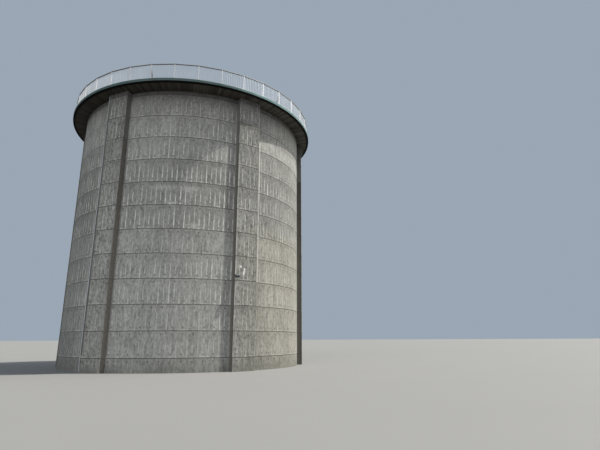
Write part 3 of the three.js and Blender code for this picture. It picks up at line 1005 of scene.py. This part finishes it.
def lift_joints(f):
    """A dark uneven line, with dirt that has run down from it."""
    uneven = f.noise(f.vector(f.u * 0.9, f.lift * 7.0), 1.3, 4).swing(0.03)
    line = abs(f.above + uneven)
    dirt = f.above.step(-0.35, -0.01) * f.above.step(0.02, 0.0) * f.wash.step(0.4, 0.7)
    f.paint(dirt * 0.3, DIRT)
    line = line.step(0.028, 0.008) * f.mottle.step(0.3, 0.5, 0.55, 0.9)
    f.paint(line * f.across.step(-6.0, -4.8, 0.6, 1.0), LIFT_LINE)


def tie_marks(f, tie_every):
    """A dark rim round each tie hole, and a short run below."""
    aside = abs(((f.u - 1.0) * (1 / tie_every)).past_whole()) * (tie_every * FORM_WIDTH)
    for centre in TIE_CENTRES:
        off = f.above - centre
        ring = (off * off + aside * aside).math("SQRT")
        f.paint(ring.step(0.05, 0.025) * 0.75, TIE_RIM)
        below = off.step(-0.2, -0.01) * off.step(0.03, 0.01)
        f.paint(below * aside.step(0.032, 0.012) * 0.4, PIT)


def around(f, spot):
    """How far off the middle of a spot, with one at its edge."""
    middle_u, middle_v, size_u, size_v = spot
    across = (f.u - middle_u) * (1 / size_u)
    upwards = (f.v - middle_v) * (1 / size_v)
    return (across * across + upwards * upwards).math("SQRT")


def washed(f, smears, bands):
    """Grime at the foot, smears of lime, and ragged bands of lime and dark stain, some of which paint
    highlights, sunlight and shade.
    """
    foot = f.v.step(0.9, 0.0) * f.blotch.step(0.35, 0.6, 0.4, 1.0)
    f.paint(foot * 0.6, FOOT_GRIME)
    for spot in smears:
        near = around(f, spot) + f.speckle.swing(2.5) + f.curtain.swing(2.5) + f.pits.swing(3.0)
        f.paint(near.step(1.0, 0.4) * 0.36, LIME_AND_HIGHLIGHT)
    ragged = f.along.step(0.25, 0.5, 0.5, 1.0) * f.mottle.step(0.2, 0.6, 0.6, 1.0)
    ragged = ragged * f.curtain.step(0.3, 0.6, 0.5, 1.2)
    for left, right, low, high, strength, paint in bands:
        upwards = (f.v + f.blotch.swing(0.15)).inside(low, high, 0.04)
        band = f.u.inside(left, right, 0.08) * upwards
        f.paint(band * ragged * strength, paint)


def side_stains_and_shade(f):
    """Brown stains on the sides of a buttress, deepened by painted shade, and near-black painted shade above
    them, darkest in the corner under the gallery.
    """
    turn = (f.u + BUTTRESS_U_START) * (1 / BUTTRESS_U_STEP)
    local = turn.math("FRACT") * BUTTRESS_U_STEP - BUTTRESS_U_START
    number = turn.math("FLOOR")
    # The brown stain is made deeper on shaded sides: partly stain, partly painted shade
    depth = f.v.step(14.0, 5.0, f.pick(number, SIDE_TONES_HIGH), f.pick(number, SIDE_TONES_LOW))
    depth = depth * local.step(-1.0, -0.2, 1.25, 0.9) * f.mottle.step(0.2, 0.8, 0.8, 1.2)
    stain_and_shade = f.v.step(14.31, 14.29) * f.wash.step(0.2, 0.5, 0.8, 0.95)
    f.paint(stain_and_shade, f.shade(SIDE_BROWN, depth))
    # Painted shade on the upper sides, darkest in the corner under the gallery
    upper = f.shade(SIDE_UPPER_SHADE, f.pick(number, SIDE_SHADE_TOP))
    f.paint(f.v.step(14.29, 14.31) * 0.75, upper)


def patched(f, patches):
    for spot in patches:
        near = around(f, spot) + f.mottle.swing(1.6)
        f.paint(near.step(1.05, 0.85) * 0.9, MORTAR_PATCH)


def formed_concrete(name, base, tie_every, tones, runs, rough=1.0, side=False,
                    smears=(), patches=(), bands=()):
    """A tone to each form, lime runs on the joints, dark lift joints, tie holes, stains and patches, with
    painted light and shade.
    """
    f = FormedConcrete(name)
    ground(f, base, rough, tones)
    lime_runs(f, runs)
    lift_joints(f)
    tie_marks(f, tie_every)
    washed(f, smears, bands)
    if side:
        side_stains_and_shade(f)
    patched(f, patches)
    relief = f.grain * 0.5 + f.mottle * 0.6 + f.blotch * 0.5
    return f.finish(relief, 0.006, f.mottle.step(0.2, 0.8, 0.82, 0.96))


def mortar():
    f = Finish("tie_mortar", 0.95)
    patchy = f.noise(f.spot, 40.0, 3)
    f.color = f.mix(patchy, (0.05, 0.05, 0.045), (0.12, 0.118, 0.11))
    return f.finish(patchy, 0.003)


def plain_concrete(name, dark, light, joints):
    """Trowelled concrete with pour joints every few units of U."""
    f = Finish(name, 0.9)
    u, v = f.uv()
    blotch = f.noise(f.spot, 0.8, 5, 0.6)
    grain = f.noise(f.spot, 30.0, 4, 0.65)
    tone = blotch.swing(1.5) + grain.swing(0.6) + 0.5
    f.color = f.mix(tone.step(0.0, 1.0), dark, light)
    crack = abs((u * (1 / joints)).past_whole()) * joints * v
    f.paint(crack.step(0.06, 0.02) * 0.5, dark)
    return f.finish(grain + blotch, 0.004)


def soffit_concrete():
    """The underside of the gallery: grimy boards, each with its own tone and grain, so dark that they also
    paint the deep shade there, with painted light to the right and painted shade next to the wall.
    """
    f = Finish("soffit_boards", 0.92, specular=0.2)
    u, v = f.uv()
    board = f.chance(u.math("FLOOR"), 1.0, 9.0)
    figure = f.noise(f.vector(u * 9.0, v * 1.2), 1.0, 4)
    blotch = f.noise(f.spot, 1.2, 4)
    tone = board.swing(0.9) + figure.swing(0.7) + blotch.swing(1.0) + 0.5
    # Very dark board colours: partly grime, partly painted shade under the gallery
    f.color = f.mix(tone.step(0.0, 1.0), (0.017, 0.016, 0.013), (0.036, 0.033, 0.027))
    x = f.parts(f.spot)[0]
    # Painted light towards the right, and painted shade near the wall
    wear_and_painted_light = x.step(-2.5, 2.0, 0.95, 1.6) * x.step(3.7, 6.0, 1.0, 1.42)
    f.color = f.shade(f.color, wear_and_painted_light * v.step(WALL_RADIUS, WALL_RADIUS + 0.55, 0.68, 1.08))
    seam = abs(u.past_whole())
    f.paint(seam.step(0.08, 0.02) * 0.8, (0.013, 0.012, 0.01))
    margin = v.step(SLAB_RADIUS - 0.1, SLAB_RADIUS - 0.06)
    f.paint(margin * 0.85, (0.003, 0.003, 0.003))
    return f.finish(figure, 0.003)


def painted_sheet(name, dark, light, rust, roughness=0.5, metallic=0.0, specular=0.5, shaded=1.0, top=1.0):
    """Painted or coated metal: chalking, runs of dirt and specks, with painted shade to the left, and darker
    to the top.
    """
    f = Finish(name, roughness, metallic, specular)
    x, y, z = f.parts(f.spot)
    cloud = f.noise(f.spot, 1.3, 4)
    runs = f.noise(f.vector(x * 9.0, y * 9.0, z * 0.8), 1.0, 4)
    speck = f.noise(f.spot, 34.0, 3)
    tone = cloud.swing(1.2) + runs.swing(0.9) + speck.swing(0.3) + 0.5
    f.color = f.mix(tone.step(0.0, 1.0), dark, light)
    # Painted shade: darker to the left, away from the key light; and darker towards the top
    f.color = f.shade(f.color, x.step(2.0, 5.5, shaded, 1.0) * z.step(12.5, 15.5, 1.0, top))
    f.paint(speck.step(0.66, 0.74) * rust, (0.16, 0.08, 0.04))
    wear_and_painted_light = speck.step(0.3, 0.7, roughness - 0.08, roughness + 0.15)
    return f.finish(speck, 0.0008, wear_and_painted_light)


def lamp_glass():
    f = Finish("lamp_glass", 0.12)
    dust = f.noise(f.spot, 18.0, 4)
    f.color = f.mix(dust.step(0.4, 0.8), (0.008, 0.008, 0.01), (0.05, 0.05, 0.05))
    return f.finish(roughness=dust * 0.3 + 0.08)


# The tower
inner = plain_concrete("inner_concrete", (0.22, 0.22, 0.21), (0.38, 0.38, 0.36), 1.0)
holes = mortar()
wall_base, buttress_base = (0.19, 0.188, 0.176), (0.158, 0.156, 0.145)
wall_finish = formed_concrete("wall_concrete", wall_base, 2, LIFT_TONES, WALL_RUNS, smears=SMEARS,
                              bands=WALL_BANDS)
buttress_finish = formed_concrete("buttress_concrete", buttress_base, 3, BUTTRESS_TONES, BUTTRESS_RUNS, 1.5,
                                  patches=PATCHES, bands=BUTTRESS_BANDS)
side_finish = formed_concrete("buttress_side", buttress_base, 3, BUTTRESS_TONES, BUTTRESS_RUNS, side=True)
for index, place in enumerate(("front", "front_right", "back_right", "back", "back_left", "front_left")):
    wall_panel(index, f"wall_{place}", [wall_finish, inner, holes])
for index, place in enumerate(("front_right", "right", "back_right", "back_left", "left", "front_left")):
    buttress(index, f"buttress_{place}", [buttress_finish, inner, holes, side_finish])
ring_beam([wall_finish])
deck = plain_concrete("deck_concrete", (0.13, 0.13, 0.12), (0.24, 0.24, 0.225), 12.0)
gallery_slab([soffit_concrete(), deck])
green_dark, green_light = (0.066, 0.13, 0.125), (0.135, 0.225, 0.215)
gallery_coping([painted_sheet("coping_green", green_dark, green_light, 0.1, specular=0.3, shaded=0.4)])
black_dark, black_light = (0.002, 0.002, 0.002), (0.004, 0.004, 0.004)
edge_strip([painted_sheet("edge_black", black_dark, black_light, 0.05, roughness=0.8, specular=0.05)])
roof_dome([plain_concrete("roof_concrete", (0.13, 0.13, 0.12), (0.25, 0.25, 0.235), 1.0)])
tank_floor([inner])
zinc_dark, zinc_light = (0.5, 0.51, 0.52), (0.72, 0.73, 0.74)
galvanised = painted_sheet("galvanised_steel", zinc_dark, zinc_light, 0.12, shaded=0.64)
handrail = painted_sheet("handrail_steel", (0.11, 0.105, 0.1), (0.2, 0.19, 0.18), 0.25, shaded=0.6)
bolts = painted_sheet("bolt_steel", (0.2, 0.2, 0.2), (0.4, 0.4, 0.4), 0.5, metallic=0.6)
stay_dark, stay_light = (0.05, 0.05, 0.055), (0.12, 0.12, 0.125)
stays = painted_sheet("stay_steel", stay_dark, stay_light, 0.4, roughness=0.55, metallic=0.3)
for number in range(1, SECTION_COUNT + 1):
    railing_section(number, [galvanised, handrail, bolts, stays])
grey_dark, grey_light = (0.25, 0.27, 0.285), (0.42, 0.45, 0.47)
grey_pipe = painted_sheet("conduit_grey", grey_dark, grey_light, 0.1, shaded=0.86, top=0.64)
conduit([grey_pipe, bolts, bolts])
lamp_paint = painted_sheet("lamp_blue_grey", (0.05, 0.06, 0.075), (0.1, 0.12, 0.145), 0.1, roughness=0.45)
lamp_bracket([lamp_paint, bolts])
lamp_housing([lamp_paint, lamp_glass(), stays])


# Stage
FAR = 6000


def floor():
    f = Finish("studio_floor", 0.9)
    cloud = f.noise(f.spot, 0.2, 2)
    f.color = f.mix(cloud, (0.176, 0.174, 0.17), (0.184, 0.182, 0.178))
    mesh = bpy.data.meshes.new("studio_floor")
    square = [(x, y, -0.002) for x, y in rectangle(FAR, FAR)]
    mesh.from_pydata(square, [], [(0, 1, 2, 3)])
    mesh.materials.append(f.finish())
    plane = add_object("studio_floor", mesh)
    plane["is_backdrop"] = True


def sun(name, azimuth, elevation, strength, softness, color):
    """A far, soft light from a bearing and a height above the horizon."""
    light = bpy.data.lights.new(name, "SUN")
    light.energy = strength
    light.angle = math.radians(softness)
    light.color = color
    lamp = add_object(name, light)
    lamp.rotation_euler = (math.radians(90 - elevation), 0, math.radians(azimuth))


def sky(color, strength):
    world = bpy.data.worlds.new("studio")
    world.use_nodes = True
    background = world.node_tree.nodes["Background"]
    background.inputs["Color"].default_value = (*color, 1.0)
    background.inputs["Strength"].default_value = strength
    bpy.context.scene.world = world


def camera():
    """Solved from the photo, 35.25 m from the tower's axis with the eye at 1.8 m."""
    data = bpy.data.cameras.new("camera")
    data.sensor_width = 36
    data.sensor_fit = "HORIZONTAL"
    data.lens = 26.633
    data.clip_end = FAR
    bearing, distance, height = 6.901, 35.253, 1.8
    pan, tilt, roll = -7.17, 14.456, -0.22
    matrix = Matrix.Translation(polar(distance, bearing, height))
    for angle, axis in ((pan, "Z"), (90 + tilt, "X"), (roll, "Z")):
        matrix = matrix @ Matrix.Rotation(math.radians(angle), 4, axis)
    eye = add_object("camera", data)
    eye.matrix_world = matrix
    bpy.context.scene.camera = eye


floor()
sun("key", 81.7, 64, 5.5, 0.5, (1.0, 0.97, 0.885))
sun("left_fill", -20, 12, 2.25, 60, (0.98, 0.99, 1.0))
sun("right_fill", 100, 12, 2.7, 60, (1.0, 0.975, 0.93))
sky((0.325, 0.385, 0.455), 1.0)
camera()
bpy.context.scene.view_settings.view_transform = "Standard"


def corners(box):
    return [[round(value, 5) for value in corner] for corner in box]


{"cad": corners(CAD_BOX), "visual": corners(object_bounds())}
